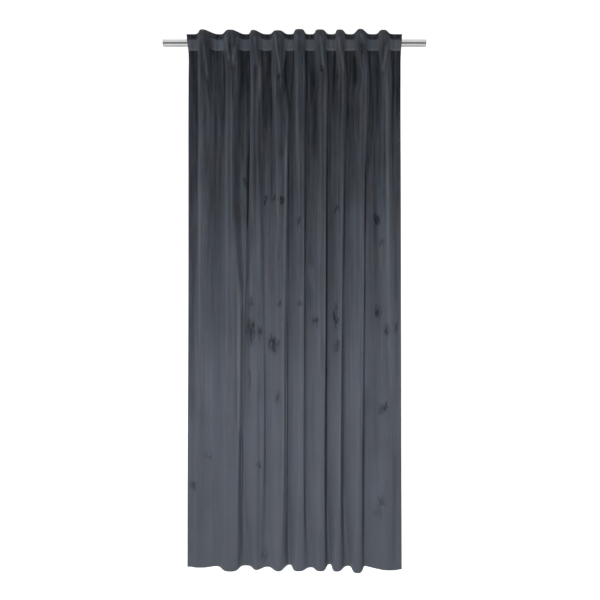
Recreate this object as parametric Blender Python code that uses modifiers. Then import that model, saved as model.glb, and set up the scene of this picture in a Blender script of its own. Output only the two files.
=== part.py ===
"""A length of velvet hung by hidden back tabs on a round metal rod.

The origin is on the rod's axis, at the middle of its length. X runs along the rod, the folds come forward
towards -Y, and +Z is up. Sizes are in metres, and the fold tables are in millimetres.

The cloth is worked out as it hangs. A table for each of eight heights says where the folds stand there. A
horizontal section is drawn through its rows, and its folds are then deepened or eased until the section is
exactly as long as the cloth is wide, because cloth neither stretches nor shrinks. The sections make one
open surface, which gets its thickness at the end.
"""

import math
from collections import namedtuple

import bpy
import numpy as np

# The rod and the plugs that close it.
ROD_LENGTH = 1.235
ROD_RADIUS = 0.016
ROD_WALL = 0.0012
PLUG_FLANGE = 0.003
PLUG_SPIGOT = 0.025
PLUG_CHAMFER = 0.0006
FIT_GAP = 0.0003
ROUND_STEPS = 48

# The cloth, with its hem and heading turned over.
FLAT_WIDTH = 1.45
CLOTH_THICKNESS = 0.002
HEADER_TOP = 0.0375
UPPER_STITCH = 0.020
LOWER_STITCH = -0.045
HEM = -2.453

# The straps behind the heading. Each is sewn on above and below the rod by a seam, has a little slack between
# the cloth and its seams, and turns away from the cloth just inside them.
TAB_WIDTH = 0.036
TAB_THICKNESS = 0.0015
TAB_SEAM = 0.014
TAB_TO_ROD = 0.0004
TAB_SLACK = 0.0008
TAB_TURN = 0.0015
TAB_FALL = 0.0012
TAB_STEPS = 12

Fold = namedtuple("Fold", "left front_left front_right right front back")
Level = namedtuple("Level", "height left_edge right_edge last_back rounding folds")
Line = namedtuple("Line", "height y")

# Each row is one fold, from the left. Left and right are where it comes out of the recess on either side,
# front_left and front_right are the ends of its front, front is how far that stands out, and back is how far
# the recess on its left does. Rounding is the share of each straight that its two corners take.
CROWN = Level(HEADER_TOP, -507, 505, 0, 0.60, (
    Fold(-456, -434, -415, -369, 53, 0),
    Fold(-336, -312, -283, -242, 50, 0),
    Fold(-212, -199, -182, -146, 47, 0),
    Fold(-111, -92, -62, -38, 43, 0),
    Fold(-5, 5, 40, 54, 56, 0),
    Fold(92, 101, 134, 155, 52, 0),
    Fold(191, 196, 222, 242, 51, 0),
    Fold(278, 294, 313, 345, 58, 0),
    Fold(387, 398, 422, 449, 48, 0),
))
HEADING = Level(-0.050, -496, 498, 0, 0.40, (
    Fold(-450, -437, -409, -373, 44, 0),
    Fold(-330, -312, -278, -246, 42, 0),
    Fold(-209, -199, -178, -148, 40, 0),
    Fold(-109, -95, -59, -40, 40, 0),
    Fold(0, 5, 43, 49, 46, 0),
    Fold(96, 102, 136, 150, 43, 0),
    Fold(195, 198, 224, 234, 43, 0),
    Fold(284, 291, 318, 346, 46, 0),
    Fold(394, 399, 424, 452, 41, 0),
))
NECK = Level(-0.17, -496, 497, 0, 0.50, (
    Fold(-450, -439, -410, -380, 42, 0),
    Fold(-324, -305, -266, -247, 42, 0),
    Fold(-207, -195, -158, -143, 42, 0),
    Fold(-108, -97, -61, -42, 43, 0),
    Fold(-2, 8, 46, 52, 45, 0),
    Fold(97, 111, 148, 157, 44, 0),
    Fold(188, 204, 235, 244, 44, 0),
    Fold(288, 309, 339, 351, 46, 0),
    Fold(400, 407, 440, 457, 42, 0),
))
SHOULDERS = Level(-0.31, -497, 497, 0, 0.50, (
    Fold(-449, -435, -395, -372, 40, 0),
    Fold(-325, -306, -276, -255, 44, 0),
    Fold(-207, -195, -170, -150, 43, 0),
    Fold(-107, -87, -36, -25, 44, 0),
    Fold(-14, 10, 41, 50, 46, 0),
    Fold(80, 113, 145, 155, 48, 0),
    Fold(172, 197, 229, 243, 48, 0),
    Fold(258, 303, 335, 349, 50, 0),
    Fold(384, 408, 434, 453, 43, 0),
))
WAIST = Level(-0.64, -497, 497, 8, 0.45, (
    Fold(-452, -437, -397, -374, 36, 2),
    Fold(-345, -314, -288, -257, 50, 3),
    Fold(-212, -199, -166, -148, 46, 0),
    Fold(-122, -84, -40, -30, 50, 12),
    Fold(-22, 18, 42, 50, 54, 0),
    Fold(60, 118, 143, 152, 54, 5),
    Fold(160, 196, 226, 237, 54, 0),
    Fold(240, 296, 321, 331, 60, 2),
    Fold(338, 403, 436, 462, 48, 3),
))
MIDDLE = Level(-1.20, -497, 496, 22, 0.40, (
    Fold(-456, -440, -412, -376, 32, 6),
    Fold(-362, -315, -254, -241, 54, 6),
    Fold(-232, -203, -150, -138, 48, 2),
    Fold(-129, -78, -47, -36, 58, 24),
    Fold(-29, 26, 42, 50, 62, 0),
    Fold(54, 124, 142, 149, 62, 10),
    Fold(153, 202, 218, 227, 62, 0),
    Fold(232, 298, 316, 325, 70, 4),
    Fold(330, 400, 438, 478, 50, 6),
))
LOWER = Level(-2.10, -499, 496, 42, 0.42, (
    Fold(-470, -450, -425, -392, 30, 22),
    Fold(-368, -320, -262, -251, 60, 20),
    Fold(-243, -188, -147, -134, 56, 8),
    Fold(-127, -78, -51, -40, 66, 24),
    Fold(-33, 20, 39, 49, 69, 4),
    Fold(55, 116, 136, 145, 67, 20),
    Fold(151, 198, 211, 222, 67, 2),
    Fold(229, 288, 307, 319, 80, 8),
    Fold(326, 406, 454, 484, 57, 12),
))
FOOT = Level(HEM, -499, 496, 55, 0.85, (
    Fold(-479, -461, -415, -376, 39, 29),
    Fold(-351, -319, -267, -248, 79, 23),
    Fold(-207, -184, -167, -137, 63, 15),
    Fold(-113, -85, -61, -33, 77, 29),
    Fold(-14, -2, 37, 65, 76, 7),
    Fold(88, 104, 139, 156, 76, 35),
    Fold(174, 178, 210, 237, 79, 2),
    Fold(264, 271, 305, 325, 95, 20),
    Fold(332, 411, 462, 488, 67, 21),
))
LEVELS = (FOOT, LOWER, MIDDLE, WAIST, SHOULDERS, NECK, HEADING, CROWN)

# Where the recesses lie, from the hem up: plumb below the rod, over its front, then back above it.
RECESS_LINE = (
    Line(HEM, 0.002),
    Line(-1.80, -0.003),
    Line(-1.20, -0.008),
    Line(-0.60, -0.011),
    Line(-0.20, -0.0135),
    Line(-0.100, -0.0150),
    Line(LOWER_STITCH, -0.0175),
    Line(-0.030, -0.0190),
    Line(-0.015, -0.0200),
    Line(0.000, -0.0200),
    Line(0.010, -0.0178),
    Line(0.0155, -0.0138),
    Line(UPPER_STITCH, -0.0105),
    Line(0.028, -0.0095),
    Line(HEADER_TOP, -0.0095),
)
ROWS = (
    HEM, -2.29, -2.10, -1.65, -1.20, -0.92, -0.64, -0.46, -0.31, -0.17, -0.105,
    LOWER_STITCH, -0.020, 0.000, 0.011, UPPER_STITCH, 0.028, HEADER_TOP,
)


def between(stations, values, at):
    """Values of a table at a place between its rows, turning smoothly through each row."""
    stations = np.asarray(stations, float)
    values = np.asarray(values, float)
    slopes = np.gradient(values, stations, axis=0)
    at = min(max(at, stations[0]), stations[-1])
    i = min(int(np.searchsorted(stations, at, side="right")) - 1, len(stations) - 2)
    step = stations[i + 1] - stations[i]
    t = (at - stations[i]) / step
    start = (2 * t**3 - 3 * t**2 + 1) * values[i] + (t**3 - 2 * t**2 + t) * step * slopes[i]
    end = (3 * t**2 - 2 * t**3) * values[i + 1] + (t**3 - t**2) * step * slopes[i + 1]
    return start + end


def corners_of(level):
    """The section's corners at one height, as (x, how far it stands out), and the rounding in a last row."""
    corners = [(level.left_edge, level.folds[0].back)]
    backs = [fold.back for fold in level.folds[1:]] + [level.last_back]
    for fold, next_back in zip(level.folds, backs):
        corners.append((fold.left, fold.back))
        corners.append((fold.front_left, fold.front))
        corners.append((fold.front_right, fold.front))
        corners.append((fold.right, next_back))
    corners.append((level.right_edge, level.last_back))
    return np.array(corners + [(level.rounding * 1000, 0)], float) / 1000


def section_at(height):
    """The corners and the rounding at any height."""
    heights = [level.height for level in LEVELS]
    found = between(heights, [corners_of(level) for level in LEVELS], height)
    return found[:-1], found[-1, 0]


def rounded(corners, rounding):
    """The line through the corners with each one turned into a curve of three points."""
    line = [corners[0]]
    for before, corner, after in zip(corners, corners[1:], corners[2:]):
        start = corner + (before - corner) * rounding / 2
        end = corner + (after - corner) * rounding / 2
        line += [start, (start + 2 * corner + end) / 4, end]
    line.append(corners[-1])
    return np.array(line)


def length_of(line):
    return np.linalg.norm(np.diff(line, axis=0), axis=1).sum()


def fitted(corners, rounding):
    """The rounded section with its folds deepened or eased until it is as long as the flat cloth."""
    least, most = 0.0, 3.0
    for _ in range(40):
        depth = (least + most) / 2
        line = rounded(corners * (1, depth), rounding)
        if length_of(line) < FLAT_WIDTH:
            least = depth
        else:
            most = depth
    return line


def cloth_row(height):
    """The points of the hanging cloth at one height."""
    line = fitted(*section_at(height))
    recess = between([row.height for row in RECESS_LINE], [row.y for row in RECESS_LINE], height)
    return [(x, recess - out, height) for x, out in line]


def material(name, colour, roughness, metallic=0.0):
    made = bpy.data.materials.new(name)
    made.use_nodes = True
    shader = made.node_tree.nodes["Principled BSDF"]
    shader.inputs["Base Color"].default_value = (*colour, 1)
    shader.inputs["Roughness"].default_value = roughness
    shader.inputs["Metallic"].default_value = metallic
    made.diffuse_color = (*colour, 1)
    return made


def add(name, mesh, look, parent=None, place=(0, 0, 0)):
    obj = bpy.data.objects.new(name, mesh)
    obj.location = place
    obj.parent = parent
    mesh.materials.append(look)
    bpy.data.collections["Curtain"].objects.link(obj)
    return obj


def thicken(obj, thickness):
    shell = obj.modifiers.new("Thickness", "SOLIDIFY")
    shell.thickness = thickness
    shell.offset = 0
    shell.use_even_offset = True
    shell.use_rim = True


def sheet(name, rows, thickness, look, parent, place=(0, 0, 0)):
    """A cloth surface through rows of points, thickened to both sides."""
    width = len(rows[0])
    points = [point for row in rows for point in row]
    faces = []
    for i in range(len(rows) - 1):
        for j in range(width - 1):
            corner = i * width + j
            faces.append((corner, corner + 1, corner + 1 + width, corner + width))
    mesh = bpy.data.meshes.new(name)
    mesh.from_pydata(points, [], faces)
    mesh.shade_smooth()
    obj = add(name, mesh, look, parent, place)
    thicken(obj, thickness)
    return obj


def turned(name, profile, closed, look, parent, place=(0, 0, 0)):
    """A piece turned about the X axis from points given as (along the axis, radius)."""
    points = [(x, radius, 0) for x, radius in profile]
    edges = [(i, i + 1) for i in range(len(points) - 1)]
    if closed:
        edges.append((len(points) - 1, 0))
    mesh = bpy.data.meshes.new(name)
    mesh.from_pydata(points, edges, [])
    obj = add(name, mesh, look, parent, place)
    turn = obj.modifiers.new("Turn", "SCREW")
    turn.axis = "X"
    turn.angle = math.tau
    turn.steps = turn.render_steps = ROUND_STEPS
    turn.use_merge_vertices = True
    turn.merge_threshold = 0.0001
    return obj


def tangent_angle(y, z, radius, side):
    """The angle at which a straight from a point outside a circle touches it."""
    return math.atan2(z, y) + side * math.acos(radius / math.hypot(y, z))


def tab_line():
    """The middle of a strap's thickness, as (y, z): down the heading, over the rod, behind it and back."""
    behind_cloth = (CLOTH_THICKNESS + TAB_THICKNESS) / 2 + FIT_GAP
    radius = ROD_RADIUS + TAB_TO_ROD + TAB_THICKNESS / 2
    heights = [row.height for row in RECESS_LINE]
    recesses = [row.y for row in RECESS_LINE]
    end_y = between(heights, recesses, UPPER_STITCH + TAB_SEAM) + behind_cloth + TAB_SLACK
    top_y = between(heights, recesses, UPPER_STITCH) + behind_cloth + TAB_SLACK
    low_y = between(heights, recesses, LOWER_STITCH) + behind_cloth + TAB_SLACK / 2
    first = tangent_angle(top_y, UPPER_STITCH, radius, -1)
    last = tangent_angle(low_y, LOWER_STITCH, radius, 1)
    line = [(end_y, UPPER_STITCH + TAB_SEAM), (top_y, UPPER_STITCH + TAB_TURN)]
    for step in range(TAB_STEPS + 1):
        angle = first + (last - first) * step / TAB_STEPS
        line.append((radius * math.cos(angle), radius * math.sin(angle)))
    line.append((low_y, LOWER_STITCH - TAB_TURN))
    line.append((low_y + TAB_FALL, LOWER_STITCH - TAB_SEAM))
    return line


def tab_centres():
    """The middle of each recess of the heading, where a strap is sewn."""
    ends = [HEADING.left_edge] + [fold.right for fold in HEADING.folds]
    starts = [fold.left for fold in HEADING.folds] + [HEADING.right_edge]
    return [(end + start) / 2000 for end, start in zip(ends, starts)]


def build():
    for obj in list(bpy.data.objects):
        bpy.data.objects.remove(obj)
    collection = bpy.data.collections.new("Curtain")
    bpy.context.scene.collection.children.link(collection)
    top = bpy.data.objects.new("curtain_frame", None)
    collection.objects.link(top)

    velvet = material("slate velvet", (0.036, 0.042, 0.052), 0.95)
    strap = material("strap cloth", (0.030, 0.034, 0.041), 0.9)
    steel = material("polished steel", (0.72, 0.72, 0.73), 0.18, 1.0)
    cap = material("brushed steel", (0.62, 0.62, 0.63), 0.3, 1.0)

    sheet("curtain_panel", [cloth_row(height) for height in ROWS], CLOTH_THICKNESS, velvet, top)

    line = tab_line()
    sides = (-TAB_WIDTH / 2, TAB_WIDTH / 2)
    for number, centre in enumerate(tab_centres(), 1):
        rows = [[(side, y, z) for side in sides] for y, z in reversed(line)]
        sheet(f"back_tab_{number:02d}", rows, TAB_THICKNESS, strap, top, (centre, 0, 0))

    half = ROD_LENGTH / 2 - PLUG_FLANGE - FIT_GAP
    inside = ROD_RADIUS - ROD_WALL
    tube = [(half, inside), (half, ROD_RADIUS), (-half, ROD_RADIUS), (-half, inside)]
    turned("rod", tube, True, steel, top)
    for name, side in (("rod_end_left", -1), ("rod_end_right", 1)):
        plug = [
            (0, 0),
            (0, ROD_RADIUS - PLUG_CHAMFER),
            (-PLUG_CHAMFER, ROD_RADIUS),
            (-PLUG_FLANGE, ROD_RADIUS),
            (-PLUG_FLANGE, inside - FIT_GAP),
            (-PLUG_FLANGE - PLUG_SPIGOT, inside - FIT_GAP),
            (-PLUG_FLANGE - PLUG_SPIGOT, 0),
        ]
        obj = turned(name, plug, False, cap, top, (side * ROD_LENGTH / 2, 0, 0))
        if side < 0:
            obj.rotation_euler = (0, 0, math.pi)


build()
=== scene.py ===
# %% [markdown]
# # A velvet curtain on a rod, dressed
# The solid model holds one length of cloth, ten straps behind its heading, a tube and two plugs. This
# lesson makes the surfaces that a viewer sees. The cloth gets a finer sheet on the same folds, with its
# pressed heading, its small creases and its brushed pile. The straps get their weave and seams, and the
# metal its polish. Sizes are in metres unless a table says millimetres.

# %% Load the frame
import math
from collections import namedtuple

import bpy
import numpy as np
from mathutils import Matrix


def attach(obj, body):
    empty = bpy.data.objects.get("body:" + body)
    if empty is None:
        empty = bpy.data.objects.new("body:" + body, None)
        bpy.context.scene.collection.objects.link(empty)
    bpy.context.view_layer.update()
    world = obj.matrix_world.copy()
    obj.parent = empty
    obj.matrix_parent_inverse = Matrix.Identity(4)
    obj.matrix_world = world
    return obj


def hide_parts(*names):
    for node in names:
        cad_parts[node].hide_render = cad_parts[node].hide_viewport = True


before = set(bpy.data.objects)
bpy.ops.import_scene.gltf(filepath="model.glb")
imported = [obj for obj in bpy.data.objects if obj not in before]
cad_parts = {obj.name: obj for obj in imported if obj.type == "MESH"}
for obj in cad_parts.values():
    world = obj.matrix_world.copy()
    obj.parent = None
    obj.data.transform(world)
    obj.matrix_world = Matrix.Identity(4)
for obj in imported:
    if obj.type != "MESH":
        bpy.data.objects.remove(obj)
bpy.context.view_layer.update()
print("nodes:", sorted(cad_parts))

# %% [markdown]
# The camera comes first, because every later choice is judged through it. It looks straight at the cloth
# from half its height. It stands 2.6 m away, near enough for the folds to rise above the heading and dip
# below the hem, which is how their depth shows from the front.

# %% Camera
CAMERA_DISTANCE = 2.6
CAMERA_PLACE = (0.0259, -CAMERA_DISTANCE, -1.2093)
PICTURE_WIDTH = 600 / 212.4
SENSOR = 36.0

lens = bpy.data.cameras.new("camera")
lens.sensor_width = SENSOR
lens.lens = SENSOR * CAMERA_DISTANCE / PICTURE_WIDTH
lens.clip_start = 0.05
camera = bpy.data.objects.new("camera", lens)
camera.location = CAMERA_PLACE
camera.rotation_euler = (math.pi / 2, 0, 0)
bpy.context.scene.collection.objects.link(camera)
bpy.context.scene.camera = camera
print("lens:", round(lens.lens, 1), "mm")

# %% [markdown]
# On the real curtain each fold is one loop of cloth between two straps. A simulation would find some
# folds, but not these ones. So each fold is a row in a table, with eight tables from the heading to the
# hem, and the cloth between them is worked out. Left and right are where a fold leaves the recesses
# beside it, front_left and front_right are the ends of its front, and front and back are how far the fold
# and the recess on its left stand out. All are in millimetres.

# %% Sizes of the cloth
FLAT_WIDTH = 1.45
HEADER_TOP = 0.0375
UPPER_STITCH = 0.020
LOWER_STITCH = -0.045
HEM = -2.453

Fold = namedtuple("Fold", "left front_left front_right right front back")
Level = namedtuple("Level", "height left_edge right_edge last_back rounding folds")


def folds_at(height, left_edge, right_edge, last_back, rounding, *rows):
    return Level(height, left_edge, right_edge, last_back, rounding, [Fold(*row) for row in rows])


CROWN = folds_at(
    HEADER_TOP, -507, 505, 0, 0.60,
    (-456, -434, -415, -369, 53, 0),
    (-336, -312, -283, -242, 50, 0),
    (-212, -199, -182, -146, 47, 0),
    (-111, -92, -62, -38, 43, 0),
    (-5, 5, 40, 54, 56, 0),
    (92, 101, 134, 155, 52, 0),
    (191, 196, 222, 242, 51, 0),
    (278, 294, 313, 345, 58, 0),
    (387, 398, 422, 449, 48, 0),
)
HEADING = folds_at(
    -0.050, -496, 498, 0, 0.40,
    (-450, -437, -409, -373, 44, 0),
    (-330, -312, -278, -246, 42, 0),
    (-209, -199, -178, -148, 40, 0),
    (-109, -95, -59, -40, 40, 0),
    (0, 5, 43, 49, 46, 0),
    (96, 102, 136, 150, 43, 0),
    (195, 198, 224, 234, 43, 0),
    (284, 291, 318, 346, 46, 0),
    (394, 399, 424, 452, 41, 0),
)
NECK = folds_at(
    -0.17, -496, 497, 0, 0.50,
    (-450, -439, -410, -380, 42, 0),
    (-324, -305, -266, -247, 42, 0),
    (-207, -195, -158, -143, 42, 0),
    (-108, -97, -61, -42, 43, 0),
    (-2, 8, 46, 52, 45, 0),
    (97, 111, 148, 157, 44, 0),
    (188, 204, 235, 244, 44, 0),
    (288, 309, 339, 351, 46, 0),
    (400, 407, 440, 457, 42, 0),
)
SHOULDERS = folds_at(
    -0.31, -497, 497, 0, 0.50,
    (-449, -435, -395, -372, 40, 0),
    (-325, -306, -276, -255, 44, 0),
    (-207, -195, -170, -150, 43, 0),
    (-107, -87, -36, -25, 44, 0),
    (-14, 10, 41, 50, 46, 0),
    (80, 113, 145, 155, 48, 0),
    (172, 197, 229, 243, 48, 0),
    (258, 303, 335, 349, 50, 0),
    (384, 408, 434, 453, 43, 0),
)
WAIST = folds_at(
    -0.64, -497, 497, 8, 0.45,
    (-452, -437, -397, -374, 36, 2),
    (-345, -314, -288, -257, 50, 3),
    (-212, -199, -166, -148, 46, 0),
    (-122, -84, -40, -30, 50, 12),
    (-22, 18, 42, 50, 54, 0),
    (60, 118, 143, 152, 54, 5),
    (160, 196, 226, 237, 54, 0),
    (240, 296, 321, 331, 60, 2),
    (338, 403, 436, 462, 48, 3),
)
MIDDLE = folds_at(
    -1.20, -497, 496, 22, 0.40,
    (-456, -440, -412, -376, 32, 6),
    (-362, -315, -254, -241, 54, 6),
    (-232, -203, -150, -138, 48, 2),
    (-129, -78, -47, -36, 58, 24),
    (-29, 26, 42, 50, 62, 0),
    (54, 124, 142, 149, 62, 10),
    (153, 202, 218, 227, 62, 0),
    (232, 298, 316, 325, 70, 4),
    (330, 400, 438, 478, 50, 6),
)
LOWER = folds_at(
    -2.10, -499, 496, 42, 0.42,
    (-470, -450, -425, -392, 30, 22),
    (-368, -320, -262, -251, 60, 20),
    (-243, -188, -147, -134, 56, 8),
    (-127, -78, -51, -40, 66, 24),
    (-33, 20, 39, 49, 69, 4),
    (55, 116, 136, 145, 67, 20),
    (151, 198, 211, 222, 67, 2),
    (229, 288, 307, 319, 80, 8),
    (326, 406, 454, 484, 57, 12),
)
FOOT = folds_at(
    HEM, -499, 496, 55, 0.85,
    (-479, -461, -415, -376, 39, 29),
    (-351, -319, -267, -248, 79, 23),
    (-207, -184, -167, -137, 63, 15),
    (-113, -85, -61, -33, 77, 29),
    (-14, -2, 37, 65, 76, 7),
    (88, 104, 139, 156, 76, 35),
    (174, 178, 210, 237, 79, 2),
    (264, 271, 305, 325, 95, 20),
    (332, 411, 462, 488, 67, 21),
)
LEVELS = (FOOT, LOWER, MIDDLE, WAIST, SHOULDERS, NECK, HEADING, CROWN)

Line = namedtuple("Line", "height y")
RECESS_LINE = [Line(*row) for row in (
    (HEM, 0.002),
    (-1.80, -0.003),
    (-1.20, -0.008),
    (-0.60, -0.011),
    (-0.20, -0.0135),
    (-0.100, -0.0150),
    (LOWER_STITCH, -0.0175),
    (-0.030, -0.0190),
    (-0.015, -0.0200),
    (0.000, -0.0200),
    (0.010, -0.0178),
    (0.0155, -0.0138),
    (UPPER_STITCH, -0.0105),
    (0.028, -0.0095),
    (HEADER_TOP, -0.0095),
)]

# %% [markdown]
# Cloth neither stretches nor shrinks. Each horizontal section is drawn through its corners, the corners
# are rounded, and then all its folds are deepened or eased together until the section is as long as the
# cloth is wide. The section is cut into equal steps of cloth, so the weave is as fine on a flank as on a
# front.

# %% From tables to sections
COLUMNS = 390
ACROSS = np.linspace(0, FLAT_WIDTH, COLUMNS)


def between(stations, values, at):
    """Values of a table at a place between its rows, turning smoothly through each row."""
    stations = np.asarray(stations, float)
    values = np.asarray(values, float)
    slopes = np.gradient(values, stations, axis=0)
    at = min(max(at, stations[0]), stations[-1])
    i = min(int(np.searchsorted(stations, at, side="right")) - 1, len(stations) - 2)
    step = stations[i + 1] - stations[i]
    t = (at - stations[i]) / step
    start = (2 * t**3 - 3 * t**2 + 1) * values[i] + (t**3 - 2 * t**2 + t) * step * slopes[i]
    end = (3 * t**2 - 2 * t**3) * values[i + 1] + (t**3 - t**2) * step * slopes[i + 1]
    return start + end


def corners_of(level):
    """The corners of a section, as (x, how far it stands out), with the rounding as a last row."""
    corners = [(level.left_edge, level.folds[0].back)]
    backs = [fold.back for fold in level.folds[1:]] + [level.last_back]
    for fold, next_back in zip(level.folds, backs):
        corners.append((fold.left, fold.back))
        corners.append((fold.front_left, fold.front))
        corners.append((fold.front_right, fold.front))
        corners.append((fold.right, next_back))
    corners.append((level.right_edge, level.last_back))
    return np.array(corners + [(level.rounding * 1000, 0)], float) / 1000


CORNER_TABLES = [corners_of(level) for level in LEVELS]


def rounded(corners, rounding):
    """The line through the corners, each turned into a soft bend of nine points."""
    before, corner, after = corners[:-2], corners[1:-1], corners[2:]
    start = corner + (before - corner) * rounding / 2
    end = corner + (after - corner) * rounding / 2
    t = np.linspace(0, 1, 9)[None, :, None]
    bends = (1 - t) ** 2 * start[:, None] + 2 * t * (1 - t) * corner[:, None] + t**2 * end[:, None]
    return np.vstack([corners[:1], bends.reshape(-1, 2), corners[-1:]])


def along(line):
    """The length of a line up to each of its points."""
    return np.concatenate([[0], np.cumsum(np.linalg.norm(np.diff(line, axis=0), axis=1))])


def even_steps(line, count):
    """Points at equal steps along a line."""
    lengths = along(line)
    steps = np.linspace(0, lengths[-1], count)
    return np.column_stack([np.interp(steps, lengths, line[:, k]) for k in (0, 1)])


def section(height):
    """Equal steps of cloth along the section at one height, as (x, how far it stands out)."""
    found = between([level.height for level in LEVELS], CORNER_TABLES, height)
    corners, rounding = found[:-1], found[-1, 0]
    least, most = 0.0, 3.0
    for _ in range(30):
        depth = (least + most) / 2
        line = rounded(corners * (1, depth), rounding)
        if along(line)[-1] < FLAT_WIDTH:
            least = depth
        else:
            most = depth
    return even_steps(line, COLUMNS)


print("section at the hem:", np.round(section(HEM)[0], 3), "to", np.round(section(HEM)[-1], 3))

# %% [markdown]
# The heading is pressed round the rod within a few centimetres, while the lower cloth changes slowly. So
# the rows of the sheet lie close together at the top and far apart below.

# %% The hanging surface
HEIGHTS = np.unique(np.round(np.concatenate([
    np.linspace(HEADER_TOP, -0.070, 36),
    np.linspace(-0.070, -0.35, 28),
    np.linspace(-0.35, HEM + 0.045, 58),
    np.linspace(HEM + 0.045, HEM, 4),
]), 6))[::-1]


def recess_y(height):
    """Where the recesses lie at a height, before or behind the rod's axis."""
    return between([row.height for row in RECESS_LINE], [row.y for row in RECESS_LINE], height)


def hanging_surface():
    """Points of the cloth's middle as an array of rows, columns and coordinates."""
    rows = []
    for height in HEIGHTS:
        line = section(height)
        depth = recess_y(height) - line[:, 1]
        rows.append(np.column_stack([line[:, 0], depth, np.full(COLUMNS, height)]))
    return np.array(rows)


def normals_of(points):
    """Unit normals towards the room, from the steps along and down the cloth."""
    across = np.gradient(points, axis=1)
    down = np.gradient(points, axis=0)
    normal = np.cross(down, across)
    normal /= np.maximum(np.linalg.norm(normal, axis=2, keepdims=True), 1e-12)
    return normal if normal[..., 1].mean() < 0 else -normal


cloth = hanging_surface()
print("rows and columns:", cloth.shape[:2])

# %% [markdown]
# The tables give the folds, and this table gives what lies on them: the dents in the heading's folds, the
# pouches where a fold closes below its stitch line, and the long lines pressed in by packing. Each row
# runs from one point to another as seen from the front, with a width and a height in millimetres. A
# height below nothing is a trough.

# %% Small creases
Crease = namedtuple("Crease", "x_from z_from x_to z_to width height")
CREASES = [Crease(*row) for row in (
    (-300, 10, -296, -80, 7, -0.8),
    (-318, 20, -300, -105, 5, 2.5),
    (-262, 20, -286, -120, 6, 2),
    (-92, 30, -66, -160, 4, 3),
    (-36, 20, -58, -150, 4, 3),
    (-46, -85, -47, -250, 8, -3.5),
    (36, -30, 44, -80, 8, -0.8),
    (118, 10, 136, -140, 5, 2.5),
    (124, -120, 128, -160, 7, -1.0),
    (204, 0, 226, -150, 5, 2.5),
    (200, -140, 206, -190, 8, -1.0),
    (290, -20, 322, -56, 8, -1.0),
    (300, 20, 326, -30, 6, 3),
    (410, -10, 414, -120, 7, -0.8),
    (432, -20, 408, -150, 5, 4),
    (-376, 10, -380, -70, 5, -1.5),
    (-440, 0, -441, -1440, 5, 3),
    (-418, -30, -402, -190, 5, 3),
    (-378, -200, -382, -700, 8, 2),
    (-314, -180, -310, -1500, 6, 2),
    (-291, -150, -288, -900, 4, 1.5),
    (-228, -180, -238, -2400, 4, 1.5),
    (-195, -90, -196, -860, 5, 2.5),
    (-162, -90, -150, -600, 6, 2),
    (-108, -180, -104, -760, 5, -1.0),
    (-90, -180, -72, -950, 5, 2.5),
    (-34, -280, -46, -1300, 3, 2),
    (14, -100, 10, -600, 5, 2),
    (42, -60, 40, -2300, 3, 2),
    (144, -60, 138, -2300, 3, 2),
    (176, -200, 176, -780, 4, 2),
    (225, -60, 208, -2300, 3, 2),
    (333, -60, 322, -600, 3, 2),
    (320, -560, 308, -2300, 3, 2),
    (426, -150, 436, -1420, 8, 3),
    (-211, -420, -218, -860, 4, -3),
    (-243, -560, -240, -1250, 9, 2.5),
    (-240, -950, -248, -2440, 3, -2.5),
    (-27, -420, -38, -2440, 3, -2.5),
    (51, -560, 51, -2440, 3, -2),
    (154, -420, 147, -2440, 3, -3),
    (236, -420, 226, -2440, 3, -2),
    (334, -420, 323, -2440, 3, -2.5),
    (-163, -1530, -168, -2440, 8, -0.8),
    (-396, -1500, -392, -2440, 16, 1.5),
    (462, -1900, 455, -2440, 10, -0.8),
    (60, -1040, 96, -1150, 7, 2.5),
    (98, -1040, 62, -1140, 7, 2.5),
)]


def lines_over(points, lines):
    """The sum of the lines' amounts at each point. A line fades at its sides and its ends."""
    x, z = points[..., 0] * 1000, points[..., 2] * 1000
    total = np.zeros_like(x)
    for x_from, z_from, x_to, z_to, width, amount in lines:
        share = np.clip((z - z_from) / (z_to - z_from), -0.5, 1.5)
        middle = x_from + (x_to - x_from) * share
        ends = np.clip(np.minimum(share + 0.06, 1.06 - share) / 0.18, 0, 1)
        ends = ends * ends * (3 - 2 * ends)
        total += amount * ends * np.exp(-(((x - middle) / width) ** 2))
    return total


raised = lines_over(cloth, CREASES) / 1000
cloth += normals_of(cloth) * raised[..., None]
print("creases:", len(CREASES))

# %% [markdown]
# Where a strap is sewn on, the seam pulls the cloth in along two short lines. Between them the cloth is
# tight over the rod. Above and below, small puckers spread from the seam.

# %% Pulled seams
SEAM_HALF = 0.020
SEAM_DEPTH = 0.0012
SEAM_FADE = 0.006
TROUGH_REACH = 0.0028
PUCKER_REACH = 0.012
PUCKER_SHARE = 0.25
PUCKER_TURN = 900


def strap_centres():
    """The middle of each recess of the heading."""
    ends = [HEADING.left_edge] + [fold.right for fold in HEADING.folds]
    starts = [fold.left for fold in HEADING.folds] + [HEADING.right_edge]
    return [(end + start) / 2000 for end, start in zip(ends, starts)]


def seam_pull(points):
    """How far the two seam lines draw the cloth in, with a pucker every few millimetres."""
    x, z = points[..., 0], points[..., 2]
    pull = np.zeros_like(x)
    for centre in strap_centres():
        beside = np.clip((SEAM_HALF + 0.004 - abs(x - centre)) / SEAM_FADE, 0, 1)
        for line in (UPPER_STITCH, LOWER_STITCH):
            trough = np.exp(-(((z - line) / TROUGH_REACH) ** 2))
            reach = np.exp(-(((z - line) / PUCKER_REACH) ** 2))
            pucker = reach * np.sin((x - centre) * PUCKER_TURN) * PUCKER_SHARE
            pull += beside * (trough + pucker)
    return -SEAM_DEPTH * pull


cloth += normals_of(cloth) * seam_pull(cloth)[..., None]
print("straps:", len(strap_centres()))

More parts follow.
